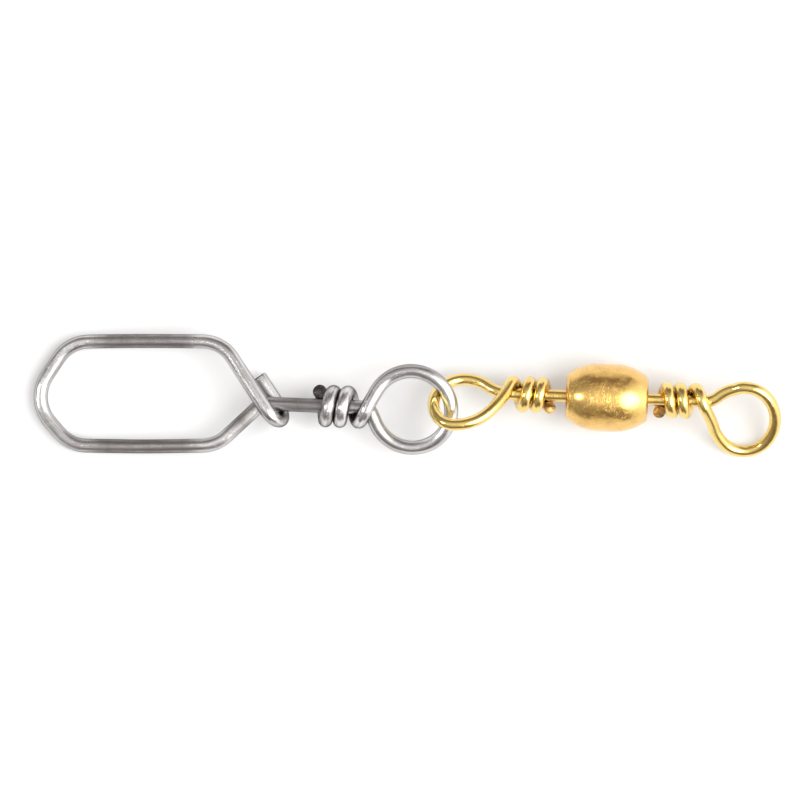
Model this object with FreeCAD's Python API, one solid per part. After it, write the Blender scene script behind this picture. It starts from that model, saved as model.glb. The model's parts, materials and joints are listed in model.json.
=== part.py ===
import FreeCAD, Part
import os
from math import asin, atan2, ceil, cos, degrees, hypot, pi, radians, sin, sqrt, tan

V = FreeCAD.Vector

# A snap swivel lying on a table, in millimetres. The barrel's axis is parallel to X, the snap
# points to -X and the line eye to +X. Each wire is one piece, described as it is bent: a row
# of stations, each a place and a heading, joined by pairs of tangent arcs.

# Wires
snap_wire = 0.98
eye_wire = 0.85
wrap_gap = 0.02            # between a wrap and the core inside it

# Barrel, with its ends swaged in round the two shanks
barrel_length = 5.74
barrel_diameter = 4.76
belt_length = 1.1          # the straight middle
crown_radius = 3.5         # from the belt down to the shoulder
lip_length = 0.31          # the rounded end past the shoulder
lip_drop = 0.45
barrel_wall = 0.72
barrel_end_wall = 0.8
shank_clearance = 0.05
hole_flare = 0.12

# Upset heads that hold the shanks in the barrel
head_diameter = 1.9
head_length = 1.1
head_cone_length = 0.35
head_round = 0.3
head_seat_gap = 0.03       # the snap eye is pulled out onto its seat
line_eye_push = 0.26       # the line eye is pushed in
shank_bare = 1.49          # from the head to the last wrap

# Wraps of the two eyes
eye_pitch_gap = 0.08       # between one wrap and the next
settle_turns = 0.75        # over which the first wrap settles to the pitch
line_wrap_turns = 2.85
line_first_advance = 0.575
snap_eye_wrap_turns = 2.7
snap_eye_first_advance = 0.38

# Loops of the two eyes: out from the crossing, and up or down from the axis, in the eye's
# plane. A rise is out of that plane, to the side that the crossing is on.
core_setback = 0.1         # where the shank leaves the axis, short of the crossing
climb_slope = 0.08
line_shoulder_out = 1.78
line_shoulder_up = 0.86
line_shoulder_rise = -0.3
line_shoulder_angle = 19.8
line_top_out = 2.73
line_top_up = 1.24
line_top_rise = -0.15
line_top_angle = 3.0
line_tip_out = 4.95
line_tip_down = 1.32
line_tip_rise = 0.17
line_belly_out = 2.9
line_belly_down = 3.87
line_belly_rise = 0.44
line_neck_out = 0.64
line_neck_down = 1.66
line_neck_rise = 0.7
line_neck_angle = 105.3
snap_eye_shoulder_out = 3.05
snap_eye_shoulder_up = 1.2
snap_eye_shoulder_rise = -0.1
snap_eye_tip_out = 5.25
snap_eye_tip_down = 1.34
snap_eye_tip_rise = 0.17
snap_eye_belly_out = 3.7
snap_eye_belly_down = 3.28
snap_eye_belly_rise = 0.44
snap_eye_lean = 38.0

# Snap ring and its wraps
ring_radius = 2.76
ring_branch_angle = 152.0  # where both branches leave the circle
ring_lean = 14.0
ring_rise = 0.05           # the ring's centre above the shank's axis
ring_entry = 3.04          # from the ring's centre to where the shank turns into it
ring_entry_radius = 0.72
ring_cross_rise = 0.86     # of the other branch, on its way over the shank
ring_neck = 3.07           # from the ring's centre to the crossing
snap_pitch_gap = 0.03
snap_wrap_turns = 2.75
snap_first_advance = 0.705
ring_drift = -0.42         # how far the ring lies to one side of the eye's tip
link_slack = 0.35
link_gap = 0.05

# Snap loop: six-sided, measured from the end of the shank
shank_length = 7.5
loop_heading_angle = 2.3   # the loop's long sides against the shank, in degrees
loop_up = 4.32
loop_down = 2.94
side_bow = 0.08
top_near = 2.74
top_far = 13.56
bottom_near = 3.19
bottom_far = 13.51
point_out = 16.27
point_up = 0.25
point_radius = 2.7
corner_radius = 2.6
bow_radius = 60.0
neck_radius = 1.2

# Hook at the loop's free end, round the shank
hook_gap = 0.08
hook_past = 0.4            # where the bend starts, past the end of the shank
hook_down = 0.44
hook_side = 0.73
hook_tip = 2.35
leg_rise = 0.55


def unit(vector):
    return vector / vector.Length


def arc(start, corner, end):
    """The arc from start to end whose tangents meet at the corner."""
    middle = (start + end) * 0.5
    half_chord = (end - start).Length / 2
    height = (corner - middle).Length
    if height < 1e-6 * half_chord:
        return Part.LineSegment(start, end).toShape()
    half_turn = atan2(height, half_chord)
    sagitta = half_chord * tan(half_turn / 2)
    crest = middle + (corner - middle) * (sagitta / height)
    return Part.Arc(start, crest, end).toShape()


def joined(first, second):
    """Two tangent arcs from one station to the next, or the straight run between them."""
    (start, out), (end, into) = first, second
    span = end - start
    if unit(span).cross(out).Length < 1e-6 and unit(span).cross(into).Length < 1e-6:
        return [Part.LineSegment(start, end).toShape()]
    turn = 1 - out.dot(into)
    along = span.dot(out + into)
    if turn < 1e-9:
        reach = span.dot(span) / (2 * along)
    else:
        reach = (sqrt(along * along + 2 * turn * span.dot(span)) - along) / (2 * turn)
    first_corner = start + out * reach
    second_corner = end - into * reach
    meeting = (first_corner + second_corner) * 0.5
    return [arc(start, first_corner, meeting), arc(meeting, second_corner, end)]


def path_of(stations):
    edges = []
    for first, second in zip(stations, stations[1:]):
        edges += joined(first, second)
    return Part.Wire(edges)


def bent_wire(stations, diameter):
    """A round wire of the given diameter along its stations."""
    start, heading = stations[0]
    section = Part.Wire([Part.Circle(start, heading, diameter / 2).toShape()])
    return path_of(stations).makePipeShell([section], True, False)


def corner_stations(before, corner, after, radius):
    """Where a bend of the given radius starts and ends."""
    into = unit(corner - before)
    out = unit(after - corner)
    setback = radius * tan(into.getAngle(out) / 2)
    return [(corner - into * setback, into), (corner + out * setback, out)]


def wrap_stations(radius, pitch, first_advance, turns):
    """Wraps round the X axis towards -X, from over the core at Z+ to the +Y side and round."""
    stations = []
    steps = ceil(4 * turns)
    for step in range(steps + 1):
        turned = turns * step / steps
        left = max(0, 1 - turned / settle_turns)
        x = -pitch * turned - first_advance * (1 - left ** 2)
        speed = -pitch - 2 * first_advance * left / settle_turns
        angle = 2 * pi * turned
        around = 2 * pi * radius
        place = V(x, radius * sin(angle), radius * cos(angle))
        heading = V(speed, around * cos(angle), -around * sin(angle))
        stations.append((place, unit(heading)))
    return stations


def moved(stations, offset):
    return [(place + offset, heading) for place, heading in stations]


def mirrored(stations, factors):
    """The stations with each coordinate multiplied by its factor, 1 or -1."""
    x, y, z = factors
    return [(V(x * p.x, y * p.y, z * p.z), V(x * h.x, y * h.y, z * h.z)) for p, h in stations]


def loop_station(out, up, rise, turn, climb=climb_slope):
    """A station of an eye's loop, its heading turned from straight out towards up."""
    return V(out, up, rise), unit(V(cos(radians(turn)), sin(radians(turn)), climb))


def eye_stations(wraps, first_advance, push, loop):
    """An eye from its head, round its loop and its wraps, to its cut end."""
    pitch = eye_wire + eye_pitch_gap
    seat = barrel_length / 2 - barrel_end_wall - head_seat_gap - push
    crossing = seat + shank_bare + eye_wire / 2 + pitch * wraps + first_advance
    shank = [(V(seat - crossing, 0, 0), V(1, 0, 0)), (V(-core_setback, 0, 0), V(1, 0, 0))]
    turns = wrap_stations(eye_wire + wrap_gap, pitch, first_advance, wraps)
    return moved(shank + loop + turns, V(crossing, 0, 0))


def line_eye_stations():
    loop = [
        loop_station(line_shoulder_out, line_shoulder_up, line_shoulder_rise, line_shoulder_angle, 0),
        loop_station(line_top_out, line_top_up, line_top_rise, line_top_angle),
        loop_station(line_tip_out, -line_tip_down, line_tip_rise, -90),
        loop_station(line_belly_out, -line_belly_down, line_belly_rise, 180),
        loop_station(line_neck_out, -line_neck_down, line_neck_rise, line_neck_angle),
    ]
    return eye_stations(line_wrap_turns, line_first_advance, line_eye_push, loop)


def snap_eye_stations():
    loop = [
        loop_station(snap_eye_shoulder_out, snap_eye_shoulder_up, snap_eye_shoulder_rise, 0, 0),
        loop_station(snap_eye_tip_out, -snap_eye_tip_down, snap_eye_tip_rise, -90),
        loop_station(snap_eye_belly_out, -snap_eye_belly_down, snap_eye_belly_rise, 180),
    ]
    return mirrored(eye_stations(snap_eye_wrap_turns, snap_eye_first_advance, 0, loop), (-1, 1, 1))


def upset_head(end, inwards):
    """The head on a shank: a cone that seats on the barrel's end wall, and a rounded button."""
    narrow = eye_wire / 2
    wide = head_diameter / 2
    cone = Part.makeCone(narrow, wide, head_cone_length, end, inwards)
    button_start = end + inwards * head_cone_length
    button = Part.makeCylinder(wide, head_length - head_cone_length, button_start, inwards)
    far = end + inwards * head_length
    circles = [edge for edge in button.Edges if len(edge.Vertexes) == 1]
    rim = [edge for edge in circles if (edge.BoundBox.Center - far).Length < wide / 2]
    return cone.fuse(button.makeFillet(head_round, rim)).removeSplitter()


def eye(stations):
    """An eye's wire with its head."""
    end, outwards = stations[0]
    wire = bent_wire(stations, eye_wire)
    return wire.fuse(upset_head(end, -outwards)).removeSplitter().Solids[0]


def line_eye_lean():
    """The line eye leans until its belly touches the table."""
    reach = hypot(line_belly_down, line_belly_rise)
    slant = atan2(line_belly_rise, line_belly_down)
    return degrees(asin((barrel_diameter - eye_wire) / 2 / reach) + slant)


def barrel():
    """The hollow barrel, turned from one profile about X."""
    half = barrel_length / 2
    radius = barrel_diameter / 2
    belt = belt_length / 2
    crown_centre = radius - crown_radius

    def crown(x, bend_radius):
        return crown_centre + sqrt(bend_radius ** 2 - (x - belt) ** 2)

    def crown_arc(from_x, to_x, bend_radius):
        xs = (from_x, (from_x + to_x) / 2, to_x)
        return Part.Arc(*[V(x, 0, crown(x, bend_radius)) for x in xs]).toShape()

    def run(*points):
        return [Part.LineSegment(V(*a), V(*b)).toShape() for a, b in zip(points, points[1:])]

    shoulder = half - lip_length
    shoulder_radius = crown(shoulder, crown_radius)
    face_radius = shoulder_radius - lip_drop
    lip_radius = (lip_length ** 2 + lip_drop ** 2) / (2 * lip_length)
    lip_turn = asin(lip_drop / lip_radius) / 2
    lip_middle = V(half - lip_radius * (1 - cos(lip_turn)), 0, face_radius + lip_radius * sin(lip_turn))
    lip = Part.Arc(V(shoulder, 0, shoulder_radius), lip_middle, V(half, 0, face_radius)).toShape()
    hole_radius = eye_wire / 2 + shank_clearance
    inside = half - barrel_end_wall
    cavity_radius = crown_radius - barrel_wall
    end = [crown_arc(belt, shoulder, crown_radius), lip]
    end += run((half, 0, face_radius), (half, 0, hole_radius + hole_flare),
               (half - hole_flare, 0, hole_radius), (inside, 0, hole_radius),
               (inside, 0, crown(inside, cavity_radius)))
    end.append(crown_arc(inside, belt, cavity_radius))
    other_end = [edge.mirror(V(0, 0, 0), V(1, 0, 0)) for edge in end]
    sides = run((-belt, 0, radius), (belt, 0, radius))
    sides += run((-belt, 0, radius - barrel_wall), (belt, 0, radius - barrel_wall))
    outline = Part.Wire(Part.__sortEdges__(end + other_end + sides))
    return Part.Face(outline).revolve(V(0, 0, 0), V(1, 0, 0), 360)


def loop_point(out, up, rise=0):
    """A point of the snap's loop, in the snap's own frame at the ring's centre."""
    turn = radians(loop_heading_angle)
    x = -out * cos(turn) - up * sin(turn)
    y = -out * sin(turn) + up * cos(turn)
    return V(x - ring_neck - shank_length, y, rise)


def hook_stations(leg_start):
    """From the free tip, back under the shank and round to the leg that crosses over it."""
    lift = snap_wire + hook_gap
    leg_end = loop_point(-hook_past, -hook_down, lift)
    leg = unit(leg_end - leg_start)
    flat = unit(V(leg.x, leg.y, 0))
    aside = V(-flat.y, flat.x, 0)
    under = leg_end + aside * hook_side - V(0, 0, 2 * lift)
    across = leg_end - under
    bottom = (leg_end + under) * 0.5 + flat * (across.Length / 2)
    return [(under - flat * hook_tip, flat), (under, flat), (bottom, unit(across)), (leg_end, -leg)]


def loop_stations():
    """The snap from its hook's tip, round the loop, to the start of the shank."""
    middle_top = (top_near + top_far) / 2
    middle_bottom = (bottom_near + bottom_far) / 2
    corners = [
        (loop_point(top_near, loop_up, leg_rise), corner_radius),
        (loop_point(middle_top, loop_up + side_bow), bow_radius),
        (loop_point(top_far, loop_up), corner_radius),
        (loop_point(point_out, point_up), point_radius),
        (loop_point(bottom_far, -loop_down), corner_radius),
        (loop_point(middle_bottom, -loop_down - side_bow), bow_radius),
        (loop_point(bottom_near, -loop_down), corner_radius),
        (loop_point(0, 0), neck_radius),
    ]
    stations = hook_stations(corners[0][0])
    places = [stations[-1][0]] + [place for place, _ in corners] + [V(-ring_neck, 0, 0)]
    for index, (corner, radius) in enumerate(corners):
        stations += corner_stations(places[index], corner, places[index + 2], radius)
    return stations


def ring_stations():
    """The ring, from the shank's branch round to the branch that wraps the shank."""
    lean = radians(ring_lean)
    across = V(0, cos(lean), sin(lean))
    stations = []
    for share in (-1, -0.5, 0, 0.5, 1):
        angle = radians(ring_branch_angle) * share
        place = (V(1, 0, 0) * cos(angle) + across * sin(angle)) * ring_radius
        heading = across * cos(angle) - V(1, 0, 0) * sin(angle)
        stations.append((place + V(0, 0, ring_rise), heading))
    place, heading = stations[-1]
    stations[-1] = (V(place.x, place.y, ring_cross_rise), unit(V(heading.x, heading.y, climb_slope)))
    return stations


def snap_stations():
    ring = ring_stations()
    bend = corner_stations(V(-ring_neck - shank_length, 0, 0), V(-ring_entry, 0, 0), ring[0][0],
                           ring_entry_radius)
    pitch = snap_wire + snap_pitch_gap
    wraps = wrap_stations(snap_wire + wrap_gap, pitch, snap_first_advance, snap_wrap_turns)
    wraps = moved(mirrored(wraps, (1, -1, 1)), V(-ring_neck, 0, 0))
    return loop_stations() + bend + ring + wraps


def snap_placement(snap_eye_placement):
    """Where the snap rests: its loop's point on the table, its ring on the snap eye's wire."""
    eye_path = snap_eye_stations()
    strand = path_of(eye_path[1:4])
    strand.Placement = snap_eye_placement
    tip = snap_eye_placement.multVec(eye_path[3][0])
    ring = path_of(ring_stations())
    whole = path_of(snap_stations())
    contact = (snap_wire + eye_wire) / 2
    x = tip.x + contact + link_slack - ring_radius
    low, high = 0.0, 8.0
    for _ in range(20):
        pitch = (low + high) / 2
        turned = FreeCAD.Rotation(V(0, -1, 0), pitch)
        whole.Placement = FreeCAD.Placement(V(0, 0, 0), turned)
        z = snap_wire / 2 - whole.BoundBox.ZMin
        placement = FreeCAD.Placement(V(x, tip.y + ring_drift, z), turned)
        ring.Placement = placement
        distance, closest, _ = ring.distToShape(strand)
        on_ring, on_eye = closest[0]
        if on_ring.z > on_eye.z and distance > contact + link_gap:
            high = pitch
        else:
            low = pitch
    return placement


def main():
    axis = V(0, 0, barrel_diameter / 2)
    line_lean = FreeCAD.Rotation(V(1, 0, 0), line_eye_lean())
    snap_lean = FreeCAD.Rotation(V(1, 0, 0), -snap_eye_lean)
    placements = {
        "barrel": FreeCAD.Placement(axis, FreeCAD.Rotation()),
        "line_eye": FreeCAD.Placement(axis, line_lean),
        "snap_eye": FreeCAD.Placement(axis, snap_lean),
    }
    placements["snap"] = snap_placement(placements["snap_eye"])
    pieces = {
        "barrel": barrel(),
        "line_eye": eye(line_eye_stations()),
        "snap_eye": eye(snap_eye_stations()),
        "snap": bent_wire(snap_stations(), snap_wire),
    }
    for name, piece in pieces.items():
        piece.Placement = placements[name]
    bounds = Part.makeCompound(list(pieces.values())).optimalBoundingBox(False, False)
    origin = V(bounds.Center.x, bounds.Center.y, bounds.ZMin)
    os.makedirs("parts", exist_ok=True)
    for name, piece in pieces.items():
        piece.translate(-origin)
        piece.exportStep(f"parts/{name}.step")
        print(name, piece.ShapeType, "valid", piece.isValid(), "volume", round(piece.Volume, 3))
    print("barrel's middle at", axis - origin)
    print("ring's centre at", placements["snap"].multVec(V(0, 0, ring_rise)) - origin)
    lean = radians(ring_lean)
    print("ring's normal", placements["snap"].Rotation.multVec(V(0, -sin(lean), cos(lean))))
    print("overall", bounds.XLength, bounds.YLength, bounds.ZLength, "lowest", bounds.ZMin)


main()
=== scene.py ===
import bmesh
import bpy
import json
import numpy
from math import asin, atan2, ceil, cos, pi, radians, sin, sqrt, tan
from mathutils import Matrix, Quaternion, Vector


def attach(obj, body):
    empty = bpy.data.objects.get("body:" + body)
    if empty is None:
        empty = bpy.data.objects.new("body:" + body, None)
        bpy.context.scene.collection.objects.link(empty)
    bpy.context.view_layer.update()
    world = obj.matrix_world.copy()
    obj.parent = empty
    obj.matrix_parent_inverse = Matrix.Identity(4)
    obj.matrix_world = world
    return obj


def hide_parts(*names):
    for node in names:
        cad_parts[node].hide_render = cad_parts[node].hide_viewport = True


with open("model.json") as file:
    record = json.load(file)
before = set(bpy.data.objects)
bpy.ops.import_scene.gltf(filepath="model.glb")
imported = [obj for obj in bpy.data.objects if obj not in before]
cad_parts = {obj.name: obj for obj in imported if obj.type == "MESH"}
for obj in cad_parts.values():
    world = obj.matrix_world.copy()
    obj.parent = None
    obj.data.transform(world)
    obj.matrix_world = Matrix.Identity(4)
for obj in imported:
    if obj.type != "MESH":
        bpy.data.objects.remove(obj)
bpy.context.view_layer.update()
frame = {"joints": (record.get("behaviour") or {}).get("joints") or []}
print("frame loaded")

# Sizes are in millimetres and angles in degrees; each mesh is scaled to metres when it is made
metresPerMm = 0.001
xAxis = Vector((1, 0, 0))
zAxis = Vector((0, 0, 1))
joints = {joint["name"]: joint for joint in frame["joints"]}
barrelMiddle = Vector(joints["line_eye_turn"]["pos_m"]) / metresPerMm
ringMiddle = Vector(joints["snap_swing"]["pos_m"]) / metresPerMm
ringNormal = Vector(joints["snap_swing"]["axis"])


def limited(value):
    return min(1, max(0, value))


def addObject(name, data):
    made = bpy.data.objects.new(name, data)
    bpy.context.scene.collection.objects.link(made)
    return made


# Bent wires: a row of stations, each a place and a heading, joined by pairs of tangent arcs

bending = {
    "leastTurn": 1e-4,  # in radians, below which a run is straight
    "leastBend": 1e-6,  # 1 less the cosine of two headings' angle, below which they are parallel
    "stationsPerTurn": 4,  # along the wraps
}


def addRun(path, start, corner, end):
    # an arc from start to end whose tangents meet at the corner, or a straight run
    into = (corner - start).normalized()
    out = (end - corner).normalized()
    run = {"from": path["length"], "place": start, "turn": path["turn"], "heading": into}
    run["angle"] = into.angle(out, 0)
    if run["angle"] < bending["leastTurn"]:
        run["angle"] = 0
        run["length"] = (end - start).length
    else:
        run["axis"] = into.cross(out).normalized()
        run["radius"] = (corner - start).length / tan(run["angle"] / 2)
        run["centre"] = start + run["axis"].cross(into) * run["radius"]
        run["length"] = run["radius"] * run["angle"]
        path["turn"] = Quaternion(run["axis"], run["angle"]) @ path["turn"]
    path["runs"].append(run)
    path["length"] += run["length"]


def pathThrough(stations):
    heading = stations[0][1]
    path = {"runs": [], "length": 0, "turn": zAxis.rotation_difference(heading)}
    for (start, out), (end, into) in zip(stations, stations[1:]):
        span = end - start
        along = span.dot(out + into)
        bend = 1 - out.dot(into)
        if bend < bending["leastBend"]:
            reach = span.dot(span) / (2 * along)
        else:
            reach = (sqrt(along * along + 2 * bend * span.dot(span)) - along) / (2 * bend)
        firstCorner = start + out * reach
        secondCorner = end - into * reach
        meeting = (firstCorner + secondCorner) / 2
        addRun(path, start, firstCorner, meeting)
        addRun(path, meeting, secondCorner, end)
    return path


def placeOn(path, along):
    # the wire's middle and its turn at a length along it; before its start it runs straight
    run = path["runs"][0]
    for later in path["runs"]:
        if later["from"] > along:
            break
        run = later
    reach = along - run["from"]
    if not run["angle"]:
        return run["place"] + run["heading"] * reach, run["turn"]
    spun = Quaternion(run["axis"], reach / run["radius"])
    return run["centre"] + spun @ (run["place"] - run["centre"]), spun @ run["turn"]


def ringLengths(path, stepAngle, longestStep):
    lengths = []
    for run in path["runs"]:
        steps = max(1, ceil(run["angle"] / radians(stepAngle)), ceil(run["length"] / longestStep))
        lengths += [run["from"] + run["length"] * step / steps for step in range(steps)]
    return lengths + [path["length"]]


def cornerStations(before, corner, after, radius):
    into = (corner - before).normalized()
    out = (after - corner).normalized()
    setback = radius * tan(into.angle(out) / 2)
    return [(corner - into * setback, into), (corner + out * setback, out)]


def wrapStations(wire, winding):
    # wraps round X towards -X, from over the core to the +Y side and round
    radius = wire["diameter"] + wire["wrapGap"]
    pitch = wire["diameter"] + wire["pitchGap"]
    turns, firstAdvance = winding["wraps"], winding["firstAdvance"]
    stations = []
    steps = ceil(bending["stationsPerTurn"] * turns)
    for step in range(steps + 1):
        turned = turns * step / steps
        left = max(0, 1 - turned / wire["settleTurns"])
        angle = 2 * pi * turned
        x = -pitch * turned - firstAdvance * (1 - left ** 2)
        speed = -pitch - 2 * firstAdvance * left / wire["settleTurns"]
        heading = Vector((speed, 2 * pi * radius * cos(angle), -2 * pi * radius * sin(angle)))
        stations.append((Vector((x, radius * sin(angle), radius * cos(angle))), heading.normalized()))
    return stations


def moved(stations, offset):
    return [(place + offset, heading) for place, heading in stations]


def mirrored(stations, factors):
    factors = Vector(factors)
    return [(place * factors, heading * factors) for place, heading in stations]


def placed(stations, turn, offset):
    return [(turn @ place + offset, turn @ heading) for place, heading in stations]


# Straight wire along Z, drawn out ring by ring, then bent along its path

wireMaking = {
    "endReach": 2,  # in wire diameters, how far from an end its cuts work
    "rimAngle": 50,  # a cut end's edges sharper than this are rounded
    "rimSteps": 2,
    "strandReach": 2,  # in wire diameters, how far along the wire counts as the same strand
    # how the rubbed stretch with its painted sheen fades out
    "rubbedAndSheenFade": 2,
    "mergeWithin": 1e-5,
}


def extrudeRing(bm, rim, rise, scale=1):
    made = bmesh.ops.extrude_edge_only(bm, edges=rim)["geom"]
    points = [part for part in made if isinstance(part, bmesh.types.BMVert)]
    bmesh.ops.scale(bm, vec=(scale, scale, 1), verts=points)
    bmesh.ops.translate(bm, vec=(0, 0, rise), verts=points)
    return [part for part in made if isinstance(part, bmesh.types.BMEdge) and part.is_boundary]


def addHead(bm, rim, head, wire):
    # the upset head behind the shank's start: a cone on its seat, then a rounded button
    wide = head["diameter"] / 2
    steps = head["roundSteps"]
    rim = extrudeRing(bm, rim, -head["coneLength"], wide / (wire["diameter"] / 2))
    rim = extrudeRing(bm, rim, -(head["length"] - head["coneLength"] - head["round"]))
    radius = wide
    for step in range(1, steps + 1):
        angle = pi / 2 * step / steps
        lastAngle = pi / 2 * (step - 1) / steps
        newRadius = wide - head["round"] * (1 - cos(angle))
        rim = extrudeRing(bm, rim, -head["round"] * (sin(angle) - sin(lastAngle)), newRadius / radius)
        radius = newRadius
    bmesh.ops.edgeloop_fill(bm, edges=rim)


def isNear(part, middle, wire):
    verts = [part] if isinstance(part, bmesh.types.BMVert) else part.verts
    return all((vert.co - middle).length < wire["diameter"] * wireMaking["endReach"] for vert in verts)


def cutEnd(bm, middle, outwards, wire):
    # a nipped end: two slanted cuts that leave a blunt ridge, its rim a little rounded
    side = Quaternion(outwards, radians(wire["ridgeTurn"])) @ xAxis
    for sign in (1, -1):
        normal = (outwards + side * sign * tan(radians(wire["ridgeSlope"]))).normalized()
        parts = bm.verts[:] + bm.edges[:] + bm.faces[:]
        near = [part for part in parts if isNear(part, middle, wire)]
        cut = bmesh.ops.bisect_plane(bm, geom=near, plane_co=middle, plane_no=normal,
                                     clear_outer=True)["geom_cut"]
        rim = [part for part in cut if isinstance(part, bmesh.types.BMEdge) and part.is_boundary]
        if rim:
            bmesh.ops.edgeloop_fill(bm, edges=rim, mat_nr=1)
    sharp = radians(wireMaking["rimAngle"])
    rim = [edge for edge in bm.edges if isNear(edge, middle, wire) and edge.calc_face_angle(0) > sharp]
    bmesh.ops.bevel(bm, geom=rim, offset=wire["rimRound"], segments=wireMaking["rimSteps"],
                    profile=0.5, affect="EDGES", material=-1)


def polishAndSheenAt(path, along, wire):
    # how polished the wire is here, which sets both its roughness and its painted sheen: by the
    # bending tool, from the bends within reach, and by use next to its start
    total = wire["polishAndSheenReach"] * limited((wire["rubbedAndSheenLength"] - along) / wireMaking["rubbedAndSheenFade"])
    for run in path["runs"]:
        if run["angle"] and run["radius"] < wire["polishAndSheenRadius"]:
            start = max(run["from"], along - wire["polishAndSheenReach"])
            end = min(run["from"] + run["length"], along + wire["polishAndSheenReach"])
            total += max(0, end - start)
    return min(1, total / wire["polishAndSheenReach"])


def bendAlong(bm, path, lengths, wire):
    # bends the straight wire, and keeps three things for its metal: each point's place on the
    # straight wire, how close other strands pass (where the painted crevice shade goes) and how
    # polished it is (its roughness and painted sheen)
    straight = bm.verts.layers.float_vector.new("straightWire")
    crevice = bm.verts.layers.float.new("crevice")
    polishAndSheen = bm.verts.layers.float.new("polishAndSheen")
    middles = numpy.array([placeOn(path, along)[0] for along in lengths])
    alongs = numpy.array(lengths)
    strandReach = wire["diameter"] * wireMaking["strandReach"]
    known = {}
    for vert in bm.verts:
        vert[straight] = vert.co * metresPerMm
        along = vert.co.z
        if along not in known:
            middle, turn = placeOn(path, along)
            others = middles[numpy.abs(alongs - along) > strandReach]
            known[along] = middle, turn, others, polishAndSheenAt(path, along, wire)
        middle, turn, others, vert[polishAndSheen] = known[along]
        place = middle + turn @ Vector((vert.co.x, vert.co.y, 0))
        gap = numpy.sqrt(((others - numpy.array(place)) ** 2).sum(1).min()) - wire["diameter"] / 2
        vert[crevice] = limited(1 - gap / wire["creviceReach"])
        vert.co = place * metresPerMm


def markEdges(bm, sharpAngle):
    for face in bm.faces:
        face.smooth = True
    for edge in bm.edges:
        edge.smooth = edge.calc_face_angle(0) < radians(sharpAngle)


def finishedPiece(name, bm):
    mesh = bpy.data.meshes.new(name)
    bm.to_mesh(mesh)
    bm.free()
    print(name, len(mesh.polygons), "faces")
    return addObject(name, mesh)


def bentWire(name, stations, wire, head=None):
    path = pathThrough(stations)
    lengths = ringLengths(path, wire["stepAngle"], wire["longestStep"])
    bm = bmesh.new()
    bmesh.ops.create_circle(bm, cap_ends=False, segments=wire["sides"], radius=wire["diameter"] / 2)
    rim = bm.edges[:]
    for last, here in zip(lengths, lengths[1:]):
        rim = extrudeRing(bm, rim, here - last)
    bmesh.ops.edgeloop_fill(bm, edges=rim, mat_nr=1)
    cutEnd(bm, zAxis * path["length"], zAxis, wire)
    startRim = [edge for edge in bm.edges if edge.is_boundary]
    if head:
        addHead(bm, startRim, head, wire)
    else:
        bmesh.ops.edgeloop_fill(bm, edges=startRim, mat_nr=1)
        cutEnd(bm, Vector((0, 0, 0)), -zAxis, wire)
    bmesh.ops.remove_doubles(bm, verts=bm.verts[:], dist=wireMaking["mergeWithin"])
    bmesh.ops.recalc_face_normals(bm, faces=bm.faces[:])
    markEdges(bm, wire["sharpAngle"])
    bendAlong(bm, path, lengths, wire)
    return finishedPiece(name, bm)


# Barrel: a hollow brass shell, turned from its profile about X, ends swaged in round the shanks

barrelShell = {
    "length": 5.74,
    "diameter": 4.76,
    "beltLength": 1.1,  # the straight middle
    "crownRadius": 3.5,
    "lipLength": 0.31,
    "lipDrop": 0.45,
    "wall": 0.72,
    "endWall": 0.8,
    "holeRadius": 0.475,
    "holeFlare": 0.12,
    "crownSteps": 18,
    "lipSteps": 8,
    "turnSteps": 144,
    "sharpAngle": 28,
    "mergeWithin": 1e-4,
}


def extendTo(bm, vert, x, radius):
    made = bmesh.ops.extrude_vert_indiv(bm, verts=[vert])["verts"]
    bmesh.ops.translate(bm, vec=Vector((x, 0, radius)) - vert.co, verts=made)
    return made[0]


def sweepVert(bm, vert, centreX, centreRadius, turn, steps):
    made = bmesh.ops.spin(bm, geom=[vert], cent=(centreX, 0, centreRadius), axis=(0, 1, 0),
                          angle=turn, steps=steps, use_duplicate=False)
    return [part for part in made["geom_last"] if isinstance(part, bmesh.types.BMVert)][0]


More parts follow.
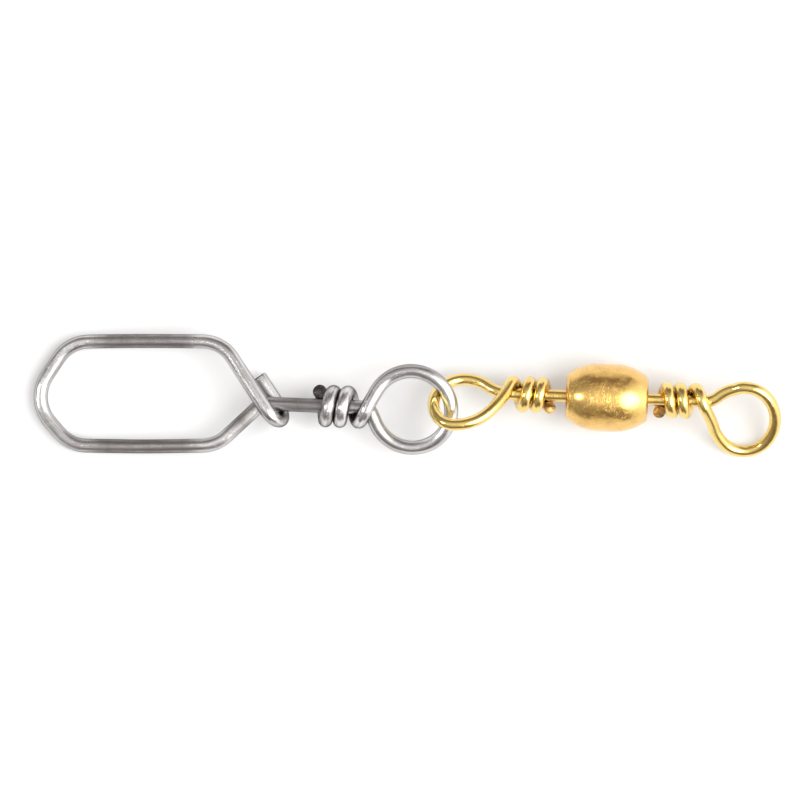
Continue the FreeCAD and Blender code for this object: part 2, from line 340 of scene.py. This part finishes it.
def makeBarrel(barrel):
    bm = bmesh.new()
    half = barrel["length"] / 2
    belt = barrel["beltLength"] / 2
    top = barrel["diameter"] / 2
    crown = barrel["crownRadius"]
    shoulder = half - barrel["lipLength"]
    inside = half - barrel["endWall"]
    innerCrown = crown - barrel["wall"]
    crownTurn = asin((shoulder - belt) / crown)
    innerTurn = asin((inside - belt) / innerCrown)
    lipRadius = (barrel["lipLength"] ** 2 + barrel["lipDrop"] ** 2) / (2 * barrel["lipLength"])
    lipTurn = asin(barrel["lipDrop"] / lipRadius)
    centre = top - crown
    for side in (1, -1):
        vert = bmesh.ops.create_vert(bm, co=(0, 0, top))["vert"][0]
        vert = extendTo(bm, vert, side * belt, top)
        vert = sweepVert(bm, vert, side * belt, centre, side * crownTurn, barrel["crownSteps"])
        faceRadius = vert.co.z - barrel["lipDrop"]
        lipX = side * (half - lipRadius)
        vert = sweepVert(bm, vert, lipX, faceRadius, side * lipTurn, barrel["lipSteps"])
        vert = extendTo(bm, vert, side * half, barrel["holeRadius"] + barrel["holeFlare"])
        vert = extendTo(bm, vert, side * (half - barrel["holeFlare"]), barrel["holeRadius"])
        vert = extendTo(bm, vert, side * inside, barrel["holeRadius"])
        vert = extendTo(bm, vert, side * inside, centre + innerCrown * cos(innerTurn))
        vert = sweepVert(bm, vert, side * belt, centre, -side * innerTurn, barrel["crownSteps"] // 2)
        extendTo(bm, vert, 0, top - barrel["wall"])
    bmesh.ops.remove_doubles(bm, verts=bm.verts[:], dist=barrel["mergeWithin"])
    bmesh.ops.spin(bm, geom=bm.verts[:] + bm.edges[:], cent=(0, 0, 0), axis=(1, 0, 0),
                   angle=2 * pi, steps=barrel["turnSteps"], use_merge=True)
    bmesh.ops.remove_doubles(bm, verts=bm.verts[:], dist=barrel["mergeWithin"])
    bmesh.ops.recalc_face_normals(bm, faces=bm.faces[:])
    markEdges(bm, barrel["sharpAngle"])
    turned = bm.verts.layers.float_vector.new("turnedPlace")  # from the barrel's own middle
    for vert in bm.verts:
        vert[turned] = vert.co * metresPerMm
        vert.co = (vert.co + barrelMiddle) * metresPerMm
    return finishedPiece("barrelShell", bm)


barrelPiece = makeBarrel(barrelShell)


# Eyes: brass wire, from the head inside the barrel out round the loop and back in wraps

eyeWire = {
    "diameter": 0.85,
    "wrapGap": 0.02,
    "pitchGap": 0.08,
    "settleTurns": 0.75,
    "coreBend": 0.1,
    "climb": 0.08,
    "sides": 44,
    "stepAngle": 4.5,
    "longestStep": 0.5,
    "sharpAngle": 32,
    "ridgeTurn": 55,
    "ridgeSlope": 14,
    "rimRound": 0.025,
    # how far from another strand the painted crevice shade reaches
    "creviceReach": 0.22,
    # bends tighter than this are polished and get the painted sheen, within the reach below
    "polishAndSheenRadius": 6.0,
    "polishAndSheenReach": 1.0,
    # how far from its start the wire is rubbed and gets the painted sheen
    "rubbedAndSheenLength": 0,
}

upsetHead = {
    "diameter": 1.9,
    "length": 1.1,
    "coneLength": 0.35,
    "round": 0.3,
    "roundSteps": 6,
    "seatGap": 0.03,
    "bareShank": 1.49,  # from the head to the last wrap
}

lineEye = {
    "wraps": 2.85,
    "firstAdvance": 0.575,
    "push": 0.26,
    "shoulder": {"out": 1.78, "up": 0.86, "rise": -0.3, "turn": 19.8, "climb": 0},
    "top": {"out": 2.73, "up": 1.24, "rise": -0.15, "turn": 3.0},
    "tip": {"out": 4.95, "up": -1.32, "rise": 0.17, "turn": -90},
    "belly": {"out": 2.9, "up": -3.87, "rise": 0.44, "turn": 180},
    "neck": {"out": 0.64, "up": -1.66, "rise": 0.7, "turn": 105.3},
}

snapEye = {
    "wraps": 2.7,
    "firstAdvance": 0.38,
    "push": 0,
    "shoulder": {"out": 3.05, "up": 1.2, "rise": -0.1, "turn": 0, "climb": 0},
    "tip": {"out": 5.25, "up": -1.34, "rise": 0.17, "turn": -90},
    "belly": {"out": 3.7, "up": -3.28, "rise": 0.44, "turn": 180},
    "lean": 38.0,
}


def loopStation(point):
    turn = radians(point["turn"])
    heading = Vector((cos(turn), sin(turn), point.get("climb", eyeWire["climb"])))
    return Vector((point["out"], point["up"], point["rise"])), heading.normalized()


def eyeStations(eye):
    seat = barrelShell["length"] / 2 - barrelShell["endWall"] - upsetHead["seatGap"] - eye["push"]
    pitch = eyeWire["diameter"] + eyeWire["pitchGap"]
    crossing = (seat + upsetHead["bareShank"] + eyeWire["diameter"] / 2
                + pitch * eye["wraps"] + eye["firstAdvance"])
    shank = [(xAxis * (seat - crossing), xAxis), (xAxis * -eyeWire["coreBend"], xAxis)]
    points = [eye[name] for name in ("shoulder", "top", "tip", "belly", "neck") if name in eye]
    loop = [loopStation(point) for point in points]
    return moved(shank + loop + wrapStations(eyeWire, eye), xAxis * crossing)


# The line eye leans until its belly lies on the table
belly = lineEye["belly"]
bellyReach = sqrt(belly["up"] ** 2 + belly["rise"] ** 2)
bellyDrop = (barrelShell["diameter"] - eyeWire["diameter"]) / 2
lineLean = asin(bellyDrop / bellyReach) + atan2(belly["rise"], -belly["up"])
lineStations = placed(eyeStations(lineEye), Quaternion(xAxis, lineLean), barrelMiddle)
lineEyePiece = bentWire("lineEyeWire", lineStations, eyeWire, upsetHead)

snapTurn = Quaternion(xAxis, -radians(snapEye["lean"]))
eyeOnSnap = placed(mirrored(eyeStations(snapEye), (-1, 1, 1)), snapTurn, barrelMiddle)
snapEyePiece = bentWire("snapEyeWire", eyeOnSnap, eyeWire, upsetHead)


# Snap: one stainless wire, from the hook's tip round the loop, the shank, the ring and the wraps

snapWire = {
    "diameter": 0.98,
    "wrapGap": 0.02,
    "pitchGap": 0.03,
    "settleTurns": 0.75,
    "sides": 48,
    "stepAngle": 4.0,
    "longestStep": 0.6,
    "sharpAngle": 32,
    "ridgeTurn": 20,
    "ridgeSlope": 12,
    "rimRound": 0.03,
    # how far from another strand the painted crevice shade reaches
    "creviceReach": 0.25,
    # bends tighter than this are polished and get the painted sheen, within the reach below
    "polishAndSheenRadius": 3.2,
    "polishAndSheenReach": 1.2,
    # how far from its start the wire is rubbed and gets the painted sheen
    "rubbedAndSheenLength": 13.5,
}

snapRing = {
    "radius": 2.76,
    "branchAngle": 152.0,
    "lean": 14.0,
    "rise": 0.05,
    "bend": 3.04,
    "bendRadius": 0.72,
    "crossRise": 0.86,
    "neck": 3.07,
    "wraps": 2.75,
    "firstAdvance": 0.705,
    "climb": 0.08,
}

snapLoop = {
    "shankLength": 7.5,
    "heading": 2.3,
    "up": 4.32,
    "down": 2.94,
    "sideBow": 0.08,
    "topNear": 2.74,
    "topFar": 13.56,
    "bottomNear": 3.19,
    "bottomFar": 13.51,
    "pointOut": 16.27,
    "pointUp": 0.25,
    "pointRadius": 2.7,
    "cornerRadius": 2.6,
    "bowRadius": 60.0,
    "neckRadius": 1.2,
}

snapHook = {
    "gap": 0.08,
    "past": 0.4,
    "down": 0.44,
    "side": 0.73,
    "tip": 2.35,
    "legRise": 0.55,
}


def loopPoint(out, up, rise=0):
    turn = radians(snapLoop["heading"])
    x = -out * cos(turn) - up * sin(turn)
    y = -out * sin(turn) + up * cos(turn)
    return Vector((x - snapRing["neck"] - snapLoop["shankLength"], y, rise))


def hookStations(legStart):
    # from the free tip, back under the shank and round to the leg that crosses over it
    lift = snapWire["diameter"] + snapHook["gap"]
    legEnd = loopPoint(-snapHook["past"], -snapHook["down"], lift)
    leg = (legEnd - legStart).normalized()
    flat = Vector((leg.x, leg.y, 0)).normalized()
    aside = Vector((-flat.y, flat.x, 0))
    under = legEnd + aside * snapHook["side"] - Vector((0, 0, 2 * lift))
    across = legEnd - under
    bottom = (legEnd + under) / 2 + flat * (across.length / 2)
    tip = under - flat * snapHook["tip"]
    return [(tip, flat), (under, flat), (bottom, across.normalized()), (legEnd, -leg)]


def loopStations():
    loop = snapLoop
    middleTop = (loop["topNear"] + loop["topFar"]) / 2
    middleBottom = (loop["bottomNear"] + loop["bottomFar"]) / 2
    corners = [
        (loopPoint(loop["topNear"], loop["up"], snapHook["legRise"]), loop["cornerRadius"]),
        (loopPoint(middleTop, loop["up"] + loop["sideBow"]), loop["bowRadius"]),
        (loopPoint(loop["topFar"], loop["up"]), loop["cornerRadius"]),
        (loopPoint(loop["pointOut"], loop["pointUp"]), loop["pointRadius"]),
        (loopPoint(loop["bottomFar"], -loop["down"]), loop["cornerRadius"]),
        (loopPoint(middleBottom, -loop["down"] - loop["sideBow"]), loop["bowRadius"]),
        (loopPoint(loop["bottomNear"], -loop["down"]), loop["cornerRadius"]),
        (loopPoint(0, 0), loop["neckRadius"]),
    ]
    stations = hookStations(corners[0][0])
    places = [stations[-1][0]] + [place for place, radius in corners] + [xAxis * -snapRing["neck"]]
    for index, (corner, radius) in enumerate(corners):
        stations += cornerStations(places[index], corner, places[index + 2], radius)
    return stations


def ringStations():
    # from the shank's branch round to the branch that wraps the shank
    lean = radians(snapRing["lean"])
    across = Vector((0, cos(lean), sin(lean)))
    stations = []
    for share in (-1, -0.5, 0, 0.5, 1):
        angle = radians(snapRing["branchAngle"]) * share
        place = (xAxis * cos(angle) + across * sin(angle)) * snapRing["radius"]
        heading = across * cos(angle) - xAxis * sin(angle)
        stations.append((place + Vector((0, 0, snapRing["rise"])), heading))
    place, heading = stations[-1]
    heading = Vector((heading.x, heading.y, snapRing["climb"])).normalized()
    stations[-1] = (Vector((place.x, place.y, snapRing["crossRise"])), heading)
    return stations


def snapStations():
    ring = ringStations()
    shankEnd = Vector((-snapRing["neck"] - snapLoop["shankLength"], 0, 0))
    bendCorner = xAxis * -snapRing["bend"]
    bend = cornerStations(shankEnd, bendCorner, ring[0][0], snapRing["bendRadius"])
    wraps = mirrored(wrapStations(snapWire, snapRing), (1, -1, 1))
    return loopStations() + bend + ring + moved(wraps, xAxis * -snapRing["neck"])


pitchTurn = Quaternion((0, -1, 0), atan2(-ringNormal.x, ringNormal.z))
snapOrigin = ringMiddle - pitchTurn @ Vector((0, 0, snapRing["rise"]))
snapPiece = bentWire("snapWire", placed(snapStations(), pitchTurn, snapOrigin), snapWire)


# Nodes: each input takes a link or a plain value

white = (1, 1, 1, 1)


def feed(tree, socket, value):
    if isinstance(value, bpy.types.NodeSocket):
        tree.links.new(value, socket)
    else:
        socket.default_value = value


def addNode(tree, kind, settings=None, **values):
    node = tree.nodes.new(kind)
    for name, value in (settings or {}).items():
        setattr(node, name, value)
    for name, value in values.items():
        feed(tree, node.inputs[name.replace("_", " ")], value)
    return node


def mathNode(tree, operation, *values, clamp=False):
    node = addNode(tree, "ShaderNodeMath", {"operation": operation, "use_clamp": clamp})
    for socket, value in zip(node.inputs, values):
        feed(tree, socket, value)
    return node.outputs[0]


def times(tree, first, second, clamp=False):
    return mathNode(tree, "MULTIPLY", first, second, clamp=clamp)


def stretched(tree, place, scale, turn=(0, 0, 0)):
    turn = [radians(angle) for angle in turn]
    return addNode(tree, "ShaderNodeMapping", Vector=place, Rotation=turn, Scale=scale).outputs["Vector"]


def noiseOf(tree, place, scale, noise):
    node = addNode(tree, "ShaderNodeTexNoise", Vector=place, Scale=scale,
                   Detail=noise["detail"], Roughness=noise["roughness"])
    return node.outputs["Fac"]


def ramped(tree, value, low, high):
    node = addNode(tree, "ShaderNodeMapRange", {"clamp": True}, Value=value, From_Min=low, From_Max=high)
    return node.outputs["Result"]


def mixedColour(tree, share, first, second):
    node = addNode(tree, "ShaderNodeMix", {"data_type": "RGBA"})
    for index, value in ((0, share), (6, first), (7, second)):  # where its colours' sockets are
        feed(tree, node.inputs[index], value)
    return node.outputs[2]


def storedOn(tree, name):
    return addNode(tree, "ShaderNodeAttribute", {"attribute_name": name}).outputs


def groupNode(tree, group, **values):
    return addNode(tree, "ShaderNodeGroup", {"node_tree": group}, **values).outputs


def newGroup(name, inputs, outputs):
    group = bpy.data.node_groups.new(name, "ShaderNodeTree")
    for socketName, kind, value in inputs:
        socket = group.interface.new_socket(socketName, in_out="INPUT", socket_type=kind)
        if value is not None:
            socket.default_value = value
    for socketName in outputs:
        group.interface.new_socket(socketName, in_out="OUTPUT", socket_type="NodeSocketFloat")
    return group, group.nodes.new("NodeGroupInput").outputs, group.nodes.new("NodeGroupOutput").inputs


def newMaterial(name, **values):
    material = bpy.data.materials.new(name)
    material.use_nodes = True
    surface = material.node_tree.nodes["Principled BSDF"].inputs
    for socketName, value in values.items():
        surface[socketName.replace("_", " ")].default_value = value
    return material, material.node_tree, surface


# Shader groups that the metals share; scales of noise are per metre, low and high cut it down

drawnPattern = {
    "fine": {"stretch": 0.012, "detail": 3, "roughness": 0.6, "low": 0.3, "high": 0.7},
    "broad": {"stretch": 0.06, "detail": 2, "roughness": 0.5, "low": 0.38, "high": 0.66},
    "broadScale": 3600,
}

scratchPattern = {
    "turns": ((15, 40, 20), (70, -25, 65), (-40, 80, -50), (25, 10, 110)),
    "line": {"scale": 9000, "scaleStep": 1700, "detail": 1, "roughness": 0.4},
    "lineStretch": 0.05,
    "lineWidth": 0.012,
    "patch": {"scale": 1500, "scaleStep": 400, "detail": 2, "roughness": 0.5},
    "patchLow": 0.52,
    "patchHigh": 0.62,
}

tarnishPattern = {
    "cloud": {"detail": 4, "roughness": 0.6, "low": 0.35, "high": 0.7},
    "speck": {"detail": 2, "roughness": 0.5, "low": 0.56, "high": 0.68},
    "specksFiner": 9,
}


def cutNoise(tree, place, scale, noise):
    return ramped(tree, noiseOf(tree, place, scale, noise), noise["low"], noise["high"])


def makeDrawnLines():
    # lines left along a wire by the drawing die, on its own unbent place
    group, given, result = newGroup("drawnLines", [
        ("Place", "NodeSocketVector", None),
        ("Fineness", "NodeSocketFloat", 14000.0),
    ], ["Lines", "Streaks"])
    for name, part, scale in (("Lines", "fine", given["Fineness"]),
                              ("Streaks", "broad", drawnPattern["broadScale"])):
        noise = drawnPattern[part]
        place = stretched(group, given["Place"], (1, 1, noise["stretch"]))
        group.links.new(cutNoise(group, place, scale, noise), result[name])
    return group


def makeHandlingScratches():
    # thin scratches at several angles, broken up so that each is short
    group, given, result = newGroup("handlingScratches", [
        ("Place", "NodeSocketVector", None),
        ("Amount", "NodeSocketFloat", 0.5),
    ], ["Scratches"])
    line, patch = scratchPattern["line"], scratchPattern["patch"]
    total = None
    for index, turn in enumerate(scratchPattern["turns"]):
        place = stretched(group, given["Place"], (1, scratchPattern["lineStretch"], 1), turn)
        lines = noiseOf(group, place, line["scale"] + line["scaleStep"] * index, line)
        away = mathNode(group, "ABSOLUTE", mathNode(group, "SUBTRACT", lines, 0.5))
        thin = mathNode(group, "SUBTRACT", 1, ramped(group, away, 0, scratchPattern["lineWidth"]))
        patches = noiseOf(group, given["Place"], patch["scale"] + patch["scaleStep"] * index, patch)
        patches = ramped(group, patches, scratchPattern["patchLow"], scratchPattern["patchHigh"])
        scratch = times(group, thin, patches)
        total = scratch if total is None else mathNode(group, "MAXIMUM", total, scratch)
    group.links.new(times(group, total, given["Amount"], True), result["Scratches"])
    return group


def makeTarnish():
    # soft cloudy darkening, and small dark specks in it
    group, given, result = newGroup("tarnish", [
        ("Place", "NodeSocketVector", None),
        ("Cloud Size", "NodeSocketFloat", 900.0),
    ], ["Clouds", "Specks"])
    speckScale = times(group, given["Cloud Size"], tarnishPattern["specksFiner"])
    clouds = cutNoise(group, given["Place"], given["Cloud Size"], tarnishPattern["cloud"])
    specks = cutNoise(group, given["Place"], speckScale, tarnishPattern["speck"])
    group.links.new(clouds, result["Clouds"])
    group.links.new(times(group, specks, clouds), result["Specks"])
    return group


drawnLines = makeDrawnLines()
handlingScratches = makeHandlingScratches()
tarnish = makeTarnish()
print("shader groups made")


# Metals: how one is put together, then what each one is

finish = {
    "lacquerRoughness": 0.1,
    "scratchRoughness": 0.12,  # added where a scratch is
    # how fast the painted crevice shade fades out from a crevice
    "paintedCreviceShadeFalloff": 2,
}


def makeMetal(name, placeName, metal):
    material, tree, surface = newMaterial(
        name, Metallic=1, Specular_Tint=metal["edgeTint"],
        Coat_Weight=metal["lacquer"], Coat_Roughness=finish["lacquerRoughness"])
    place = storedOn(tree, placeName)["Vector"]
    scratches = groupNode(tree, handlingScratches, Place=place, Amount=metal["scratches"])["Scratches"]
    stains = groupNode(tree, tarnish, Place=place, Cloud_Size=metal["cloudSize"])
    clouds = times(tree, stains["Clouds"], metal["cloudShare"])
    specks = times(tree, stains["Specks"], metal["speckShare"])
    colour = mixedColour(tree, clouds, metal["colour"], metal["darkColour"])
    colour = mixedColour(tree, specks, colour, metal["speckAndCreviceShadeColour"])
    height = times(tree, scratches, -1)
    roughness = mathNode(tree, "MULTIPLY_ADD", stains["Clouds"], metal["cloudRoughness"],
                         metal["roughness"])
    if "polishAndSheen" in metal:
        polishAndSheenMask = storedOn(tree, "polishAndSheen")["Fac"]
        roughness = mathNode(tree, "SUBTRACT", roughness, times(tree, polishAndSheenMask, metal["polishAndSheen"]))
        # painted sheen: the colour lightens towards the sheen colour where the wire is polished, in
        # place of its highlights
        paintedSheenShare = times(tree, polishAndSheenMask, metal["paintedSheen"])
        colour = mixedColour(tree, paintedSheenShare, colour, metal["paintedSheenColour"])
        # painted shade: the colour darkens where other strands pass close, in the crevices between them
        paintedCreviceShade = mathNode(tree, "POWER", storedOn(tree, "crevice")["Fac"], finish["paintedCreviceShadeFalloff"])
        colour = mixedColour(tree, times(tree, paintedCreviceShade, metal["paintedCreviceShade"]), colour, metal["speckAndCreviceShadeColour"])
    if "lineHeight" in metal:
        lines = groupNode(tree, drawnLines, Place=place, Fineness=metal["lineFineness"])
        streaked = times(tree, lines["Streaks"], metal["streakShare"])
        colour = mixedColour(tree, streaked, colour, metal["darkColour"])
        height = mathNode(tree, "ADD", height, times(tree, lines["Lines"], metal["lineHeight"]))
    scratched = times(tree, scratches, finish["scratchRoughness"])
    roughness = mathNode(tree, "ADD", roughness, scratched, clamp=True)
    tree.links.new(colour, surface["Base Color"])
    tree.links.new(roughness, surface["Roughness"])
    bump = addNode(tree, "ShaderNodeBump", Strength=metal["bump"], Distance=metal["depth"],
                   Height=height)
    tree.links.new(bump.outputs["Normal"], surface["Normal"])
    return material


brassWire = {
    "colour": (0.95, 0.68, 0.22, 1),
    "darkColour": (0.68, 0.43, 0.09, 1),
    # the painted sheen's colour, on the polished places
    "paintedSheenColour": (0.98, 0.74, 0.25, 1),
    # colour of the specks, and of the painted shade in crevices
    "speckAndCreviceShadeColour": (0.16, 0.05, 0.02, 1),
    "edgeTint": white,
    "lacquer": 0.45,
    "roughness": 0.18,
    "polishAndSheen": 0.08,  # taken off the roughness where the wire is polished
    # how far the painted sheen goes
    "paintedSheen": 0.7,
    # how dark the painted crevice shade goes
    "paintedCreviceShade": 0.85,
    "cloudSize": 1400.0,
    "cloudShare": 0.35,
    "cloudRoughness": 0.1,
    "speckShare": 0.5,
    "scratches": 0.5,
    "lineFineness": 15000.0,
    "lineHeight": 0.35,
    "streakShare": 0.2,
    "bump": 0.25,
    "depth": 0.00002,  # in metres
}

tumbledBrass = {
    "colour": (0.94, 0.60, 0.18, 1),
    "darkColour": (0.66, 0.38, 0.08, 1),
    "speckAndCreviceShadeColour": (0.30, 0.16, 0.05, 1),
    "edgeTint": white,
    "lacquer": 0.6,
    "roughness": 0.19,
    "cloudSize": 900.0,
    "cloudShare": 0.4,
    "cloudRoughness": 0.12,
    "speckShare": 0.5,
    "scratches": 0.9,
    "bump": 0.35,
    "depth": 0.00003,
}

drawnSteel = {
    "colour": (0.42, 0.40, 0.395, 1),
    "darkColour": (0.20, 0.185, 0.18, 1),
    # the painted sheen's colour, on the polished places
    "paintedSheenColour": (0.92, 0.91, 0.90, 1),
    # colour of the specks, and of the painted shade in crevices
    "speckAndCreviceShadeColour": (0.12, 0.11, 0.11, 1),
    "edgeTint": (0.08, 0.07, 0.07, 1),  # darker where the surface turns away: painted shade on the rims, for the shaded table that they reflect
    "lacquer": 0,
    "roughness": 0.34,
    "polishAndSheen": 0.18,
    # how far the painted sheen goes
    "paintedSheen": 0.8,
    # how dark the painted crevice shade goes
    "paintedCreviceShade": 0.85,
    "cloudSize": 1100.0,
    "cloudShare": 0.45,
    "cloudRoughness": 0.1,
    "speckShare": 0.8,
    "scratches": 0.5,
    "lineFineness": 13000.0,
    "lineHeight": 1.0,
    "streakShare": 0.6,
    "bump": 0.35,
    "depth": 0.00002,
}

cutEndPaintedShade = {  # what a nipped end changes in its wire's metal: a rough torn face, its colour also darkened as painted shade
    "paintedSheen": 0,
    "cloudShare": 0.9,
    "lineHeight": 0.0,
    "bump": 0.6,
    "depth": 0.00005,
}

cutBrassPaintedShade = {
    **brassWire,
    **cutEndPaintedShade,
    # torn brass, its colour darkened as painted shade, near black in the clouds
    "colour": (0.68, 0.42, 0.12, 1),
    "darkColour": (0.12, 0.04, 0.02, 1),
    "roughness": 0.4,
    "cloudSize": 3200.0,
}

cutSteelPaintedShade = {
    **drawnSteel,
    **cutEndPaintedShade,
    # torn steel, its colour darkened as painted shade, near black in the clouds
    "colour": (0.22, 0.20, 0.195, 1),
    "darkColour": (0.04, 0.03, 0.03, 1),
    "roughness": 0.5,
    "cloudSize": 2800.0,
}

# a wire's second metal is on its cut ends
barrelMetals = [makeMetal("tumbledBrass", "turnedPlace", tumbledBrass)]
eyeMetals = [
    makeMetal("brassWire", "straightWire", brassWire),
    makeMetal("cutBrassPaintedShade", "straightWire", cutBrassPaintedShade),
]
snapMetals = [
    makeMetal("drawnSteel", "straightWire", drawnSteel),
    makeMetal("cutSteelPaintedShade", "straightWire", cutSteelPaintedShade),
]

for piece, metals, body, node, slot in (
    (barrelPiece, barrelMetals, "barrel", "barrel", "barrel_brass"),
    (lineEyePiece, eyeMetals, "line_eye", "line_eye", "eye_brass"),
    (snapEyePiece, eyeMetals, "snap_eye", "snap_eye", "eye_brass"),
    (snapPiece, snapMetals, "snap", "snap", "snap_steel"),
):
    for metal in metals:
        piece.data.materials.append(metal)
    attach(piece, body)
    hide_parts(node)
print("metals on")


# Table, light and camera; lamps are in metres

table = {
    "size": 1.6,  # in metres
    "colour": (0.66, 0.66, 0.66, 1),
    "roughness": 0.9,
    "lift": 0.27,  # towards white, as the camera sees it
    "glossLift": 0.2,  # the same, as the metal sees it
}

softboxes = {
    "keySoftbox": {
        "azimuth": -10.0,  # from +X towards +Y
        "elevation": 52.0,
        "distance": 0.5,
        "width": 0.46,
        "height": 0.44,
        "power": 2.1,
    },
    "fillSoftbox": {
        "azimuth": 180.0,
        "elevation": 43.0,
        "distance": 0.5,
        "width": 0.13,
        "height": 0.13,
        "power": 0.5,
    },
}

room = {  # what the metal sees round it, from overhead down to the sides
    "across": (
        (0.0, (0.9, 0.9, 0.9)),
        (0.2, (0.86, 0.85, 0.84)),
        (0.39, (0.7, 0.68, 0.67)),
        (0.6, (0.43, 0.40, 0.39)),
        (0.8, (0.25, 0.21, 0.20)),  # dark cards above and below the part in the picture
        (0.95, (0.19, 0.145, 0.135)),
        (0.97, (0.9, 0.88, 0.87)),
    ),
    "right": (1.4, 1.4, 1.4),
    "rightFade": (0.4, 0.75),
    "left": (0.32, 0.31, 0.30),
    "leftFade": (0.3, 0.8),
    "overhead": 0.3,  # how wide the part overhead is that counts as neither side
}

camera = {
    "aimX": -0.529,
    "aimY": 0.265,
    "aimZ": 2.4,
    "roll": 2.29,
    "distance": 800.0,
    "width": 56.0,
    "sensor": 36.0,
    "clipEnd": 10,  # in metres
}


def makeTable():
    bm = bmesh.new()
    bmesh.ops.create_grid(bm, x_segments=1, y_segments=1, size=table["size"] / 2)
    piece = finishedPiece("whiteTable", bm)
    material, tree, surface = newMaterial(
        "whiteTable", Base_Color=table["colour"], Roughness=table["roughness"],
        Specular_IOR_Level=0, Emission_Color=white)
    path = tree.nodes.new("ShaderNodeLightPath").outputs
    inMetal = mathNode(tree, "MAXIMUM", path["Is Glossy Ray"], path["Is Transmission Ray"])
    lift = times(tree, path["Is Camera Ray"], table["lift"])
    lift = mathNode(tree, "ADD", lift, times(tree, inMetal, table["glossLift"]))
    tree.links.new(lift, surface["Emission Strength"])
    piece.data.materials.append(material)


def makeSoftbox(name, box):
    lamp = bpy.data.lights.new(name, "AREA")
    lamp.shape = "ELLIPSE"
    lamp.size = box["width"]
    lamp.size_y = box["height"]
    lamp.energy = box["power"]
    azimuth, elevation = radians(box["azimuth"]), radians(box["elevation"])
    towards = Vector((cos(azimuth) * cos(elevation), sin(azimuth) * cos(elevation), sin(elevation)))
    lampObject = addObject(name, lamp)
    lampObject.location = towards * box["distance"]
    lampObject.rotation_euler = towards.to_track_quat("Z", "Y").to_euler()


def makeRoom():
    # a bright strip overhead along X between two dark cards, brighter to the right
    world = bpy.data.worlds.new("softRoom")
    world.use_nodes = True
    bpy.context.scene.world = world
    tree = world.node_tree
    direction = tree.nodes.new("ShaderNodeTexCoord").outputs["Generated"]
    parts = addNode(tree, "ShaderNodeSeparateXYZ", Vector=direction).outputs
    across = addNode(tree, "ShaderNodeValToRGB", Fac=mathNode(tree, "ABSOLUTE", parts["Y"]))
    ramp = across.color_ramp
    ramp.elements[1].position = room["across"][1][0]
    for at, colour in room["across"][2:]:
        ramp.elements.new(at)
    for element, (at, colour) in zip(ramp.elements, room["across"]):
        element.color = colour + (1,)
    squares = [mathNode(tree, "POWER", parts[name], 2) for name in ("X", "Y")]
    reach = mathNode(tree, "ADD", mathNode(tree, "ADD", *squares), room["overhead"])
    facing = mathNode(tree, "DIVIDE", parts["X"], mathNode(tree, "SQRT", reach))
    right = ramped(tree, facing, *room["rightFade"])
    left = ramped(tree, times(tree, parts["X"], -1), *room["leftFade"])
    colour = mixedColour(tree, left, across.outputs["Color"], room["left"] + (1,))
    colour = mixedColour(tree, right, colour, room["right"] + (1,))
    path = tree.nodes.new("ShaderNodeLightPath").outputs
    colour = mixedColour(tree, path["Is Camera Ray"], colour, white)
    tree.links.new(colour, tree.nodes["Background"].inputs["Color"])


def makeCamera():
    lens = bpy.data.cameras.new("overTheTable")
    lens.sensor_width = camera["sensor"]
    lens.lens = camera["sensor"] * camera["distance"] / camera["width"]
    lens.clip_end = camera["clipEnd"]
    cameraObject = addObject("overTheTable", lens)
    aim = Vector((camera["aimX"], camera["aimY"], camera["aimZ"] + camera["distance"]))
    cameraObject.location = aim * metresPerMm
    cameraObject.rotation_euler = (0, 0, radians(camera["roll"]))
    bpy.context.scene.camera = cameraObject


makeTable()
for name, box in softboxes.items():
    makeSoftbox(name, box)
makeRoom()
makeCamera()
bpy.context.scene.view_settings.view_transform = "Standard"
print("table, light and camera set")
